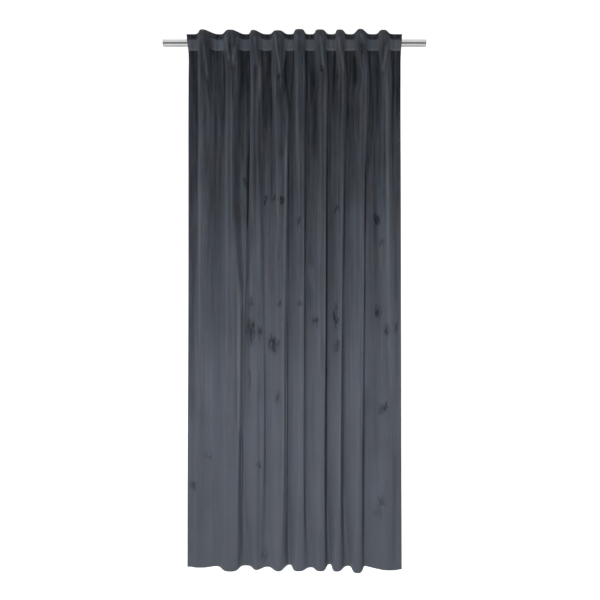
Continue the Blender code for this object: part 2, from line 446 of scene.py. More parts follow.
# %% [markdown]
# Velvet looks light where its pile stands towards the eye and dark where it lies away. Handling leaves dark
# bruises. Light and shade are painted in as well: the cloth is painted darker at the heading and lighter at
# the hem, the turns, creases and flanks of the folds get painted highlights and painted shade, long soft
# light and dark lines paint light and shade along the folds, and the band stretched over the rod gets
# painted light.
# A simple picture of this is one number for each point of the cloth. The marks and the lines are given in
# millimetres, and the material breaks up their edges. Most effects change slowly down the cloth, so each
# has its strength at the heading and at the hem.

# %% Brushed pile and painted light
SHARPEST_TURN = 0.014
FALL_LENGTH = 1.9
FULL_CREASE = 0.002
BAND_TOP = 0.006
RECESS_DEPTH = 0.024
STEEP = 0.92

# The effects below paint light and shade into the pile's number. The plain pile is painted darker at the
# heading and lighter at the hem. Outer turns and crease ridges get painted highlights, and inner turns,
# crease troughs and steep flanks get painted shade. The flanks are painted lighter or darker by the side
# they face. The band over the rod gets painted light, the recesses above and below it painted shade, and
# the fronts near the top edge painted light. The lowest part is made a little darker.
Effect = namedtuple("Effect", "heading hem")
PILE_AND_PAINTED_GRADIENT = Effect(0.265, 0.71)
OUTER_TURN_PAINTED_HIGHLIGHT = Effect(0.15, -0.02)
INNER_TURN_PAINTED_SHADE = Effect(-0.08, 0.02)
LEFT_FLANK_PAINTED_LIGHT = Effect(0.12, 0.25)
RIGHT_FLANK_PAINTED_LIGHT_AND_SHADE = Effect(-0.10, 0.18)
STEEP_FLANK_PAINTED_SHADE = Effect(-0.30, -0.75)
CREASE_RIDGE_PAINTED_LIGHT = Effect(0.26, 0.16)
CREASE_TROUGH_PAINTED_SHADE = Effect(-0.26, -0.44)
BAND_PAINTED_LIGHT = 0.60
HEADING_SHADE = -0.10
TOP_EDGE_PAINTED_LIGHT = 0.18
LOWEST_PART = -0.05

Mark = namedtuple("Mark", "x z half_width half_height strength")
# Most rows are bruises. The last seven are painted shadows under the pouches and dents of the heading's
# folds.
BRUISES_AND_PAINTED_SHADOWS = [Mark(*row) for row in (
    (-133, -743, 10, 20, 0.8),
    (-99, -743, 9, 16, 0.7),
    (-58, -753, 14, 22, 0.8),
    (19, -850, 9, 22, 0.7),
    (194, -795, 10, 16, 0.6),
    (380, -832, 12, 24, 0.8),
    (404, -946, 12, 18, 0.7),
    (-228, -655, 9, 30, 0.6),
    (-256, -800, 34, 60, 0.22),
    (-202, -1223, 12, 26, 0.8),
    (-205, -1348, 20, 60, 0.9),
    (-159, -1357, 14, 24, 0.7),
    (-99, -1417, 26, 38, 0.9),
    (-71, -1223, 12, 20, 0.6),
    (26, -1223, 12, 18, 0.7),
    (98, -1302, 18, 24, 0.8),
    (190, -1290, 9, 60, 1.0),
    (196, -1420, 16, 24, 0.7),
    (386, -1265, 16, 22, 0.6),
    (425, -1348, 16, 22, 0.7),
    (468, -1339, 12, 28, 0.6),
    (152, -1552, 8, 30, 0.5),
    (-205, -1580, 10, 50, 0.5),
    (-78, -1657, 16, 34, 0.55),
    (412, -1703, 22, 18, 0.75),
    (394, -1728, 14, 16, 0.4),
    (-400, -1934, 18, 12, 0.5),
    (-166, -1967, 14, 12, 0.65),
    (-471, -2073, 18, 16, 0.6),
    (403, -2143, 18, 20, 0.65),
    (384, -2190, 22, 30, 0.35),
    (-140, -2392, 16, 26, 0.5),
    (-150, -560, 30, 40, 0.08),
    (120, -620, 26, 60, 0.08),
    (-66, -184, 7, 12, 0.9),
    (-46, -185, 8, 70, 0.8),
    (37, -100, 5, 18, 0.4),
    (127, -148, 9, 9, 0.6),
    (196, -180, 9, 22, 0.7),
    (313, -66, 10, 7, 0.9),
    (408, -166, 6, 8, 0.7),
)]

# Each row is a long soft line of painted light or painted shade, in millimetres: dark lines paint shade
# into the crevices and under the folds, and light lines paint light onto flanks that lie in shade. A few
# also carry the pile's own lighter and darker streaks.
Shade = namedtuple("Shade", "x_from z_from x_to z_to width light")
PAINTED_LIGHT_AND_SHADE_LINES = [Shade(*row) for row in (
    (-484, -620, -484, -1750, 20, -0.20),
    (-456, -460, -456, -920, 9, -0.12),
    (-430, -60, -430, -560, 9, 0.12),
    (-430, -560, -430, -1400, 8, 0.07),
    (-380, -60, -380, -640, 9, 0.08),
    (-354, -860, -350, -1700, 13, -0.11),
    (-322, 10, -320, -60, 14, 0.24),
    (-310, -250, -310, -500, 9, -0.10),
    (-274, -40, -274, -130, 11, 0.28),
    (-268, -1150, -268, -1800, 8, -0.13),
    (-244, -460, -244, -860, 9, -0.12),
    (-249, -1150, -250, -1850, 9, 0.75),
    (-256, -1850, -257, -2400, 7, 0.26),
    (-241, -1700, -243, -2440, 6, -0.12),
    (-214, -520, -222, -1150, 8, -0.26),
    (-212, -650, -213, -1150, 7, -0.18),
    (-226, -1100, -236, -1800, 5, -0.20),
    (-196, -360, -196, -1000, 9, -0.18),
    (-179, 10, -180, -130, 12, 0.20),
    (-172, -60, -172, -460, 9, 0.10),
    (-130, -400, -130, -1500, 22, 0.09),
    (-112, -50, -112, -250, 10, -0.14),
    (-92, -210, -92, -900, 24, -0.10),
    (-60, -220, -60, -560, 12, -0.16),
    (98, -150, 98, -560, 14, -0.16),
    (172, -400, 172, -900, 10, -0.12),
    (191, -50, 191, -360, 12, -0.20),
    (293, -560, 293, -1100, 9, -0.14),
    (-206, -900, -208, -1700, 9, -0.10),
    (-100, -900, -98, -1800, 9, -0.08),
    (-39, -480, -41, -1300, 6, 0.80),
    (-43, -1250, -44, -2300, 8, 0.66),
    (-33, -1250, -34, -2650, 5, -0.34),
    (-9, -600, -9, -1100, 6, -0.14),
    (90, -110, 90, -560, 20, -0.13),
    (84, -560, 90, -2000, 20, -0.11),
    (126, -1000, 126, -1550, 10, -0.09),
    (149, -600, 147, -2650, 6, -0.36),
    (188, -100, 188, -560, 18, -0.15),
    (190, -560, 190, -1450, 18, -0.10),
    (266, -320, 266, -800, 36, -0.12),
    (284, -70, 288, -200, 16, -0.16),
    (337, 0, 337, -120, 9, 0.12),
    (336, -850, 334, -1650, 8, 0.20),
    (366, -60, 378, -260, 14, 0.09),
    (384, -45, 384, -120, 9, 0.12),
    (378, -520, 378, -2000, 15, -0.18),
    (428, -120, 430, -900, 9, 0.10),
    (449, -620, 449, -1650, 12, 0.18),
    (316, -1800, 313, -2650, 8, -0.50),
    (223, -1300, 223, -2650, 5, -0.38),
    (-420, -1700, -420, -2440, 60, -0.08),
)]


def ridges_of(points):
    """How sharply the cloth turns: 1 on the tight outer turns of folds, -1 on the inner ones."""
    x, y = points[..., 0], points[..., 1]
    step_x, step_y = np.gradient(x, axis=1), np.gradient(y, axis=1)
    turn = step_x * np.gradient(step_y, axis=1) - step_y * np.gradient(step_x, axis=1)
    turn /= np.maximum((step_x**2 + step_y**2) ** 1.5, 1e-12)
    return np.clip(turn * SHARPEST_TURN, -1, 1)


def heading_light(points):
    """The painted light on the band stretched over the rod, 1 inside it, and the painted shade in the
    recesses above and below.
    """
    y, z = points[..., 1], points[..., 2]
    recess = np.array([recess_y(height) for height in HEIGHTS])[:, None]
    deep = np.clip(1.2 - (recess - y) / RECESS_DEPTH, 0, 1)
    rise = np.clip((z - LOWER_STITCH) / 0.002, 0, 1)
    above = np.clip((z - BAND_TOP) / 0.003, 0, 1)
    below = (1 - rise) * np.clip(1 + (z - LOWER_STITCH) / 0.55, 0, 1)
    edge = 0.85 + 0.35 * np.exp(-(((z - LOWER_STITCH - 0.006) / 0.005) ** 2))
    return deep * rise * (1 - above) * edge, deep * (below + 2.2 * above)


def pile_lie_and_painted_light(points, creased):
    """How light the pile is painted at each point before its patches and marks, from 0 dark to 1 light: the
    lie of the pile together with painted light and shade.
    """
    z = points[..., 2]
    fall = np.clip((HEADER_TOP - z) / FALL_LENGTH, 0, 1)
    fall = fall * fall * (3 - 2 * fall)
    turn = ridges_of(points)
    facing = normals_of(points)[..., 0]
    band, shade = heading_light(points)
    crease = creased / FULL_CREASE
    lie = lines_over(points, PAINTED_LIGHT_AND_SHADE_LINES)
    for effect, share in (
        (PILE_AND_PAINTED_GRADIENT, 1),
        (OUTER_TURN_PAINTED_HIGHLIGHT, np.clip(turn, 0, 1)),
        (INNER_TURN_PAINTED_SHADE, np.clip(-turn, 0, 1)),
        (LEFT_FLANK_PAINTED_LIGHT, np.clip(-facing, 0, 1)),
        (RIGHT_FLANK_PAINTED_LIGHT_AND_SHADE, np.clip(facing, 0, 1)),
        (STEEP_FLANK_PAINTED_SHADE, np.clip((facing - STEEP) / 0.06, 0, 1)),
        (CREASE_RIDGE_PAINTED_LIGHT, np.clip(crease, 0, 1)),
        (CREASE_TROUGH_PAINTED_SHADE, np.clip(-crease, 0, 1)),
    ):
        lie += (effect.heading + (effect.hem - effect.heading) * fall) * share
    lie += BAND_PAINTED_LIGHT * band + HEADING_SHADE * shade
    # The fronts near the top edge get painted light, and the lowest part is made a little darker.
    return lie + TOP_EDGE_PAINTED_LIGHT * np.clip((z + 0.04) / 0.06, 0, 1) + LOWEST_PART * np.clip(-(z + 1.5) / 0.7, 0, 1)


lie = pile_lie_and_painted_light(cloth, raised)
print("bruises:", len(BRUISES_AND_PAINTED_SHADOWS), " light and dark lines:", len(PAINTED_LIGHT_AND_SHADE_LINES))
print("lie of the pile:", np.round(np.percentile(lie, [5, 50, 95]), 2))

# %% [markdown]
# A grid of points becomes a mesh by joining neighbours into four-sided faces. The cut cloth is kept as a
# UV map in metres, which the weave follows. The hem, the heading and the side hems are turned over on the
# real curtain, so a vertex group makes them thicker, and Solidify reads it.

# %% Helpers for cloth meshes
SINGLE_SHARE = 0.62
HEM_DEPTH = 0.080
HEADING_DEPTH = 0.105
SIDE_HEM = 0.020


def cloth_mesh(name, points, flat_across, flat_down):
    """A mesh over a grid of points, with the flat cloth as its UV map."""
    rows, columns = points.shape[:2]
    index = np.arange(rows * columns).reshape(rows, columns)
    faces = np.stack([index[:-1, :-1], index[1:, :-1], index[1:, 1:], index[:-1, 1:]], axis=-1)
    mesh = bpy.data.meshes.new(name)
    mesh.from_pydata(points.reshape(-1, 3).tolist(), [], faces.reshape(-1, 4).tolist())
    flat = np.stack(np.meshgrid(flat_across, flat_down), axis=-1).reshape(-1, 2)
    corners = np.empty(len(mesh.loops), np.int32)
    mesh.loops.foreach_get("vertex_index", corners)
    mesh.uv_layers.new(name="flat cloth").uv.foreach_set("vector", flat[corners].ravel())
    mesh.shade_smooth()
    return mesh


def number_layer(mesh, name, values):
    """Keeps one number on each point of a mesh, for its material to read."""
    layer = mesh.attributes.new(name, "FLOAT", "POINT")
    layer.data.foreach_set("value", np.ravel(values).astype(np.float32))


def add_piece(name, mesh, materials):
    obj = bpy.data.objects.new(name, mesh)
    bpy.context.scene.collection.objects.link(obj)
    for look in materials:
        mesh.materials.append(look)
    return obj


def thicken(obj, thickness, offset, back_look=0, layers=None):
    """Gives a sheet its thickness, in the share that its layers say."""
    shell = obj.modifiers.new("Cloth thickness", "SOLIDIFY")
    shell.thickness = thickness
    shell.offset = offset
    shell.use_even_offset = False
    shell.material_offset = back_look
    if layers is not None:
        group = obj.vertex_groups.new(name="layers")
        for value in np.unique(layers):
            group.add(np.flatnonzero(layers == value).tolist(), float(value), "REPLACE")
        shell.vertex_group = "layers"


print("turned over at hem, heading and sides:", HEM_DEPTH, HEADING_DEPTH, SIDE_HEM, "m")

# %% [markdown]
# Effects that several finishes share are node groups: a short script lays out their nodes once, and each
# material sets its own numbers. One gives the uneven lie of a pile, one a bruise, one a plain weave, and
# one the fine marks that hands and cleaning leave on metal.

# %% Node helpers


def new_group(name, inputs, outputs):
    """An empty node group. Its inputs are given as (name, kind, value), and its outputs are numbers."""
    group = bpy.data.node_groups.new(name, "ShaderNodeTree")
    for label, kind, value in inputs:
        socket = group.interface.new_socket(label, in_out="INPUT", socket_type="NodeSocket" + kind)
        if value is not None:
            socket.default_value = value
    for label in outputs:
        group.interface.new_socket(label, in_out="OUTPUT", socket_type="NodeSocketFloat")
    return group, group.nodes.new("NodeGroupInput"), group.nodes.new("NodeGroupOutput")


def operate(tree, kind, operation, given):
    """A node that works on sockets or on plain values."""
    node = tree.nodes.new(kind)
    node.operation = operation
    for socket, value in zip(node.inputs, given):
        if isinstance(value, bpy.types.NodeSocket):
            tree.links.new(value, socket)
        else:
            socket.default_value = value
    return node


def math_node(tree, operation, *given, clamp=False):
    node = operate(tree, "ShaderNodeMath", operation, given)
    node.use_clamp = clamp
    return node.outputs[0]


def vector_node(tree, operation, *given):
    node = operate(tree, "ShaderNodeVectorMath", operation, given)
    return node.outputs["Value" if operation == "LENGTH" else "Vector"]


def noise(tree, where, scale, stretch, detail, roughness, output="Fac"):
    """A noise texture at a scale in features to the metre, drawn out by a stretch."""
    mapping = tree.nodes.new("ShaderNodeMapping")
    mapping.inputs["Scale"].default_value = stretch
    tree.links.new(where, mapping.inputs["Vector"])
    texture = tree.nodes.new("ShaderNodeTexNoise")
    texture.inputs["Scale"].default_value = scale
    texture.inputs["Detail"].default_value = detail
    texture.inputs["Roughness"].default_value = roughness
    tree.links.new(mapping.outputs[0], texture.inputs["Vector"])
    return texture.outputs[output]


def contrast(tree, value, low, high):
    """Stretches a value so that low becomes 0 and high becomes 1."""
    node = tree.nodes.new("ShaderNodeMapRange")
    node.interpolation_type = "SMOOTHSTEP"
    node.inputs["From Min"].default_value = low
    node.inputs["From Max"].default_value = high
    tree.links.new(value, node.inputs["Value"])
    return node.outputs["Result"]


print("node helpers: groups, sums, noise and contrast")

# %% Groups for pile, bruises, weave and handling


def pile_group():
    """Lie: 0 dark to 1 light, from patches, streaks and grain. Tufts: the height of the pile."""
    amounts = [(label, "Float", 0.2) for label in ("Patches", "Streaks", "Grain")]
    group, given, result = new_group("Pile", [("Where", "Vector", None)] + amounts, ["Lie", "Tufts"])
    where = given.outputs["Where"]
    patches = noise(group, where, 7.0, (1, 1, 0.5), 4.0, 0.6)
    streaks = noise(group, where, 60.0, (1, 1, 0.035), 4.0, 0.8)
    tufts = noise(group, where, 1500.0, (1, 1, 1), 2.0, 0.7)
    lie = 0.5
    for value, amount in ((patches, "Patches"), (streaks, "Streaks"), (tufts, "Grain")):
        swing = math_node(group, "SUBTRACT", value, 0.5)
        part = math_node(group, "MULTIPLY", swing, given.outputs[amount])
        lie = math_node(group, "ADD", part, lie)
    group.links.new(lie, result.inputs["Lie"])
    group.links.new(tufts, result.inputs["Tufts"])
    return group


def mark_shape_group():
    """Centre and Half size: of one mark. Mark: 1 within it, with a soft rim."""
    sizes = [(label, "Vector", None) for label in ("Where", "Centre", "Half size")]
    group, given, result = new_group("Mark shape", sizes + [("Strength", "Float", 1.0)], ["Mark"])
    away = vector_node(group, "SUBTRACT", given.outputs["Where"], given.outputs["Centre"])
    shrunk = vector_node(group, "DIVIDE", away, given.outputs["Half size"])
    distance = vector_node(group, "LENGTH", shrunk)
    inside = contrast(group, math_node(group, "SUBTRACT", 1.5, distance), 0.0, 1.3)
    mark = math_node(group, "MULTIPLY", inside, given.outputs["Strength"])
    group.links.new(mark, result.inputs["Mark"])
    return group


def weave_group():
    """Flat: the flat cloth in metres. Threads: threads to the metre. Crossings: height of the weave."""
    inputs = [("Flat", "Vector", None), ("Threads", "Float", 900.0)]
    group, given, result = new_group("Weave", inputs, ["Crossings", "Slub"])
    split = group.nodes.new("ShaderNodeSeparateXYZ")
    group.links.new(given.outputs["Flat"], split.inputs[0])
    turns = math_node(group, "MULTIPLY", given.outputs["Threads"], math.pi)
    warp = math_node(group, "SINE", math_node(group, "MULTIPLY", split.outputs[0], turns), 0)
    weft = math_node(group, "SINE", math_node(group, "MULTIPLY", split.outputs[1], turns), 0)
    over = math_node(group, "MULTIPLY", warp, weft)
    height = math_node(group, "ADD", math_node(group, "MULTIPLY", over, 0.5), 0.5)
    slub = noise(group, given.outputs["Flat"], 140.0, (1, 0.12, 1), 3.0, 0.6)
    group.links.new(height, result.inputs["Crossings"])
    group.links.new(slub, result.inputs["Slub"])
    return group


def handling_group():
    """Smears: soft marks of hands. Hairlines: fine scratches along the tube."""
    group, given, result = new_group("Handling", [("Where", "Vector", None)], ["Smears", "Hairlines"])
    where = given.outputs["Where"]
    smears = contrast(group, noise(group, where, 14.0, (0.5, 1, 1), 4.0, 0.6), 0.40, 0.75)
    hairlines = noise(group, where, 900.0, (0.02, 1, 1), 2.0, 0.6)
    group.links.new(smears, result.inputs["Smears"])
    group.links.new(hairlines, result.inputs["Hairlines"])
    return group


PILE, MARK_SHAPE, WEAVE, HANDLING = pile_group(), mark_shape_group(), weave_group(), handling_group()
print("groups:", PILE.name, MARK_SHAPE.name, WEAVE.name, HANDLING.name)

# %% [markdown]
# Each finish starts from one shader with uniform numbers. Only what changes over the surface, such as the
# lie of the pile or the height of the threads, comes through nodes.

# %% Finish helpers


def finish(name, roughness, metallic=0.0, **sockets):
    """A material with its shader's plain values set, its node tree and its shader."""
    look = bpy.data.materials.new(name)
    look.use_nodes = True
    shader = look.node_tree.nodes["Principled BSDF"]
    shader.inputs["Roughness"].default_value = roughness
    shader.inputs["Metallic"].default_value = metallic
    for label, value in sockets.items():
        shader.inputs[label.replace("_", " ")].default_value = value
    return look, look.node_tree, shader


def place_group(tree, group, where, **numbers):
    """A group in a material, with the numbers that are this material's own."""
    node = tree.nodes.new("ShaderNodeGroup")
    node.node_tree = group
    tree.links.new(where, node.inputs[0])
    for label, value in numbers.items():
        node.inputs[label].default_value = value
    return node


def object_places(tree):
    return tree.nodes.new("ShaderNodeTexCoord").outputs["Object"]


def flat_places(tree):
    node = tree.nodes.new("ShaderNodeUVMap")
    node.uv_map = "flat cloth"
    return node.outputs["UV"]


def layer_number(tree, name):
    """The number that each point of the mesh keeps under a name."""
    node = tree.nodes.new("ShaderNodeAttribute")
    node.attribute_name = name
    return node.outputs["Fac"]


def blend_colours(tree, share, low, high):
    """A colour between two, by a share socket."""
    node = tree.nodes.new("ShaderNodeMix")
    node.data_type = "RGBA"
    tree.links.new(share, node.inputs["Factor"])
    for label, colour in (("A", low), ("B", high)):
        socket = next(s for s in node.inputs if s.name == label and s.type == "RGBA")
        if isinstance(colour, tuple):
            socket.default_value = (*colour, 1)
        else:
            tree.links.new(colour, socket)
    return next(s for s in node.outputs if s.type == "RGBA")


def raise_surface(tree, shader, height, strength, distance):
    bump = tree.nodes.new("ShaderNodeBump")
    bump.inputs["Strength"].default_value = strength
    bump.inputs["Distance"].default_value = distance
    tree.links.new(height, bump.inputs["Height"])
    tree.links.new(bump.outputs["Normal"], shader.inputs["Normal"])


print("finish helpers: materials, groups in them, places, colours and raised surfaces")

# %% [markdown]
# The velvet's face is nearly black where the pile lies away or is painted in shade, and slate grey where it
# leans to the light or is painted light. The number on each point sets the share of the two. Patches,
# streaks, bruises and painted shadows are added to it, the streaks strongest at the heading, where the pile
# is rubbed most. A little sheen pales the turns of the folds.

# %% Velvet face
LAID_PILE_AND_SHADE = (0.010, 0.012, 0.015)
COOL_PILE = (0.086, 0.101, 0.128)
WARM_PILE = (0.097, 0.101, 0.115)
TORN_REACH = (0.060, 0, 0.140)
MARK_AND_SHADOW_DEPTH = 0.75


def torn_places(tree, where):
    """Places pushed about by a noise, so that round marks get ragged rims."""
    push = noise(tree, where, 60.0, (1, 1, 0.4), 5.0, 0.75, "Color")
    centred = vector_node(tree, "SUBTRACT", push, (0.5, 0.5, 0.5))
    return vector_node(tree, "MULTIPLY_ADD", centred, TORN_REACH, where)


def marks_and_painted_shadows(tree, where):
    """The sum of all the marks, each placed by its row in the table."""
    torn = torn_places(tree, where)
    total = 0.0
    for mark in BRUISES_AND_PAINTED_SHADOWS:
        node = place_group(tree, MARK_SHAPE, torn, Strength=mark.strength)
        node.inputs["Centre"].default_value = (mark.x / 1000, -0.04, mark.z / 1000)
        node.inputs["Half size"].default_value = (mark.half_width / 1000, 0.2, mark.half_height / 1000)
        total = math_node(tree, "ADD", total, node.outputs["Mark"])
    broken = contrast(tree, noise(tree, where, 180.0, (1, 1, 0.22), 3.0, 0.6), 0.30, 0.60)
    return math_node(tree, "MULTIPLY", total, broken)


def velvet_face():
    sheen = {"Sheen_Weight": 0.12, "Sheen_Roughness": 0.5, "Sheen_Tint": (0.62, 0.69, 0.80, 1)}
    look, tree, shader = finish("slate velvet", 0.9, Specular_IOR_Level=0.12, **sheen)
    where = object_places(tree)
    pile = place_group(tree, PILE, where, Patches=0.35, Grain=0.35)
    streaks = math_node(tree, "MULTIPLY_ADD", layer_number(tree, "rubbed"), 1.45, 0.15)
    tree.links.new(streaks, pile.inputs["Streaks"])
    lie = math_node(tree, "ADD", pile.outputs["Lie"], layer_number(tree, "lie"))
    lie = math_node(tree, "SUBTRACT", lie, math_node(tree, "MULTIPLY", marks_and_painted_shadows(tree, where), MARK_AND_SHADOW_DEPTH))
    lie = math_node(tree, "ADD", lie, -0.5, clamp=True)
    tint = contrast(tree, noise(tree, where, 22.0, (1, 1, 0.3), 3.0, 0.6), 0.35, 0.65)
    swing = math_node(tree, "MULTIPLY_ADD", layer_number(tree, "rubbed"), 0.8, 0.2)
    tint = math_node(tree, "MULTIPLY_ADD", math_node(tree, "SUBTRACT", tint, 0.5), swing, 0.5)
    raised_pile_and_light = blend_colours(tree, tint, COOL_PILE, WARM_PILE)
    tree.links.new(blend_colours(tree, lie, LAID_PILE_AND_SHADE, raised_pile_and_light), shader.inputs["Base Color"])
    raise_surface(tree, shader, pile.outputs["Tufts"], 0.5, 0.0006)
    return look


VELVET_FACE = velvet_face()
print("face:", VELVET_FACE.name)

# %% [markdown]
# The back of velvet has no pile. It is a plain close cloth, a little greyer and duller than the face. The
# straps are woven tape, coarser than that, in the same colour.

# %% Velvet back and strap tape


def woven(name, low, high, threads, depth):
    look, tree, shader = finish(name, 0.88, Specular_IOR_Level=0.25, Sheen_Weight=0.15)
    weave = place_group(tree, WEAVE, flat_places(tree), Threads=threads)
    share = math_node(tree, "MULTIPLY", weave.outputs["Crossings"], 0.6)
    share = math_node(tree, "MULTIPLY_ADD", weave.outputs["Slub"], 0.4, share)
    tree.links.new(blend_colours(tree, share, low, high), shader.inputs["Base Color"])
    raise_surface(tree, shader, weave.outputs["Crossings"], 0.6, depth)
    return look


VELVET_BACK = woven("velvet back", (0.024, 0.027, 0.033), (0.052, 0.058, 0.068), 1100.0, 0.00025)
STRAP_TAPE = woven("strap tape", (0.018, 0.021, 0.026), (0.055, 0.062, 0.073), 700.0, 0.0004)
print("woven:", VELVET_BACK.name, STRAP_TAPE.name)

# %% [markdown]
# The tube is polished steel. Its finish is a mirror with a slight blur, which the smears and hairlines
# vary.

# %% Metal


def metal(name, colour, low, high):
    look, tree, shader = finish(name, low, 1.0)
    handling = place_group(tree, HANDLING, object_places(tree))
    smears, hairlines = handling.outputs["Smears"], handling.outputs["Hairlines"]
    share = math_node(tree, "MULTIPLY_ADD", hairlines, 0.3, math_node(tree, "MULTIPLY", smears, 0.7))
    spread = tree.nodes.new("ShaderNodeMapRange")
    spread.inputs["To Min"].default_value = low
    spread.inputs["To Max"].default_value = high
    tree.links.new(share, spread.inputs["Value"])
    tree.links.new(spread.outputs["Result"], shader.inputs["Roughness"])
    dull = tuple(c * 0.86 for c in colour)
    tree.links.new(blend_colours(tree, smears, colour, dull), shader.inputs["Base Color"])
    raise_surface(tree, shader, hairlines, 0.05, 0.0002)
    return look


ROD_STEEL = metal("rod steel", (0.80, 0.80, 0.81), 0.05, 0.14)
PLUG_STEEL = metal("plug steel", (0.66, 0.66, 0.67), 0.24, 0.40)
for node, look in (("rod", ROD_STEEL), ("rod_end_left", PLUG_STEEL), ("rod_end_right", PLUG_STEEL)):
    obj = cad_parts[node]
    for slot in obj.material_slots:
        slot.material = look
print("metal:", ROD_STEEL.name, PLUG_STEEL.name)

# %% [markdown]
# Now the cloth itself. The grid so far is the middle of the cloth, so it is moved about half a thickness
# towards the room and thickened backwards. The front then stays smooth, and the turned-over edges show as
# low steps behind, as they do on the real curtain.

# %% The velvet panel
PANEL_THICKNESS = 0.0026
FACE_RISE = 0.0009


def layers_of(points):
    """1 where the cloth is turned over and thicker, and less where it is single."""
    z = points[..., 2]
    double = (z < HEM + HEM_DEPTH) | (z > HEADER_TOP - HEADING_DEPTH)
    double = double | (ACROSS < SIDE_HEM) | (ACROSS > FLAT_WIDTH - SIDE_HEM)
    return np.where(double, 1.0, SINGLE_SHARE)


def velvet_panel():
    layers = layers_of(cloth)
    front = cloth + normals_of(cloth) * FACE_RISE
    mesh = cloth_mesh("velvet panel", front, ACROSS, HEIGHTS - HEM)
    z = cloth[..., 2]
    # The lie layer carries painted light and shade as well as the lie of the pile.
    number_layer(mesh, "lie", lie)
    number_layer(mesh, "rubbed", np.clip((z - z.min()) / (HEADER_TOP - HEM), 0, 1))
    obj = add_piece("velvet_panel", mesh, [VELVET_FACE, VELVET_BACK])
    thicken(obj, PANEL_THICKNESS, -1, 1, layers.ravel())
    return obj


panel = velvet_panel()
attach(panel, "root")
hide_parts("curtain_panel")
print("panel faces:", len(panel.data.polygons))

# %% [markdown]
# A strap is sewn to the heading above the rod, passes over and behind it, and is sewn on again below. The
# cloth's weight hangs on it, so it is tight over the top of the rod and straight below. Its middle line
# is two straights that touch a circle round the rod, and the strap is swept along it.

# %% Straps
ROD_RADIUS = 0.016
STRAP_WIDTH = 0.036
STRAP_THICKNESS = 0.0015
STRAP_SEAM = 0.014
STRAP_SLACK = 0.0008
SOLID_CLOTH = 0.002
SEAM_GAP = 0.0003
ROD_GAP = 0.0004


def strap_line():
    """The middle of a strap's thickness, as (y, z), from the top of its upper seam."""
    behind = (SOLID_CLOTH + STRAP_THICKNESS) / 2 + SEAM_GAP
    radius = ROD_RADIUS + ROD_GAP + STRAP_THICKNESS / 2
    end_y = recess_y(UPPER_STITCH + STRAP_SEAM) + behind + STRAP_SLACK
    top_y = recess_y(UPPER_STITCH) + behind + STRAP_SLACK
    low_y = recess_y(LOWER_STITCH) + behind + STRAP_SLACK / 2
    first = math.atan2(UPPER_STITCH, top_y) - math.acos(radius / math.hypot(top_y, UPPER_STITCH))
    last = math.atan2(LOWER_STITCH, low_y) + math.acos(radius / math.hypot(low_y, LOWER_STITCH))
    angles = np.linspace(first, last, 25)
    return np.array(
        [(end_y, UPPER_STITCH + STRAP_SEAM), (top_y, UPPER_STITCH + 0.0015)]
        + [(radius * math.cos(a), radius * math.sin(a)) for a in angles]
        + [(low_y, LOWER_STITCH - 0.001), (low_y + 0.0012, LOWER_STITCH - STRAP_SEAM)]
    )


STRAP_LINE = even_steps(strap_line(), 72)
STRAP_LENGTH = float(along(STRAP_LINE)[-1])


def strap(count, centre):
    """One strap across its place on the rod, its edges drawn in a little where it is tight."""
    across = np.linspace(-STRAP_WIDTH / 2, STRAP_WIDTH / 2, 13)
    down = np.linspace(0, STRAP_LENGTH, len(STRAP_LINE))
    middle = np.sin(np.pi * down / STRAP_LENGTH)
    width = 1 - (0.03 + 0.012 * math.sin(count * 2.3)) * middle
    points = np.empty((len(down), len(across), 3))
    points[..., 0] = centre + across[None, :] * width[:, None]
    points[..., 1] = STRAP_LINE[:, :1]
    points[..., 2] = STRAP_LINE[:, 1:]
    name = f"strap_{count:02d}"
    obj = add_piece(name, cloth_mesh(name, points, across, down), [STRAP_TAPE])
    thicken(obj, STRAP_THICKNESS, 0)
    edge = obj.modifiers.new("Soft edge", "BEVEL")
    edge.width = 0.0004
    edge.segments = 2
    edge.limit_method = "ANGLE"
    edge.angle_limit = math.radians(60)
    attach(obj, "root")
    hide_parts(f"back_tab_{count:02d}")
    return obj


straps = [strap(i, centre) for i, centre in enumerate(strap_centres(), 1)]
print("strap length:", round(STRAP_LENGTH, 4), "m")

# %% [markdown]
# Thread holds the straps and the hem. A stitch is a short rounded bead of thread. All the stitches of one
# kind are one mesh, because hundreds of objects would be slow to handle.

# %% Thread
STITCH = 0.0030
STITCH_GAP = 0.0010
THREAD_RADIUS = 0.00035
THREAD_COLOURS = ((0.020, 0.023, 0.029), (0.060, 0.066, 0.078))
BEAD_SIDES = 6

Ring = namedtuple("Ring", "share thickness lift")
BEAD = (
    Ring(0, 0.45, -0.6),
    Ring(0.18, 0.9, 0.1),
    Ring(0.5, 1.0, 0.35),
    Ring(0.82, 0.9, 0.1),
    Ring(1, 0.45, -0.6),
)


def thread_look():
    look, tree, shader = finish("thread", 0.55, Specular_IOR_Level=0.35)
    weave = place_group(tree, WEAVE, object_places(tree), Threads=2200.0)
    colour = blend_colours(tree, weave.outputs["Slub"], *THREAD_COLOURS)
    tree.links.new(colour, shader.inputs["Base Color"])
    raise_surface(tree, shader, weave.outputs["Slub"], 0.3, 0.0001)
    return look


THREAD = thread_look()


def bead(start, end, out):
    """Rings of points round a stitch, thin at its ends, where it dips into the cloth."""
    start, end, out = (np.asarray(v, float) for v in (start, end, out))
    axis = (end - start) / np.linalg.norm(end - start)
    side = np.cross(axis, out)
    points = []
    for ring in BEAD:
        centre = start + (end - start) * ring.share + out * ring.lift * THREAD_RADIUS
        for corner in range(BEAD_SIDES):
            turn = math.tau * corner / BEAD_SIDES
            spoke = side * math.cos(turn) + out * math.sin(turn)
            points.append(centre + spoke * ring.thickness * THREAD_RADIUS)
    return points


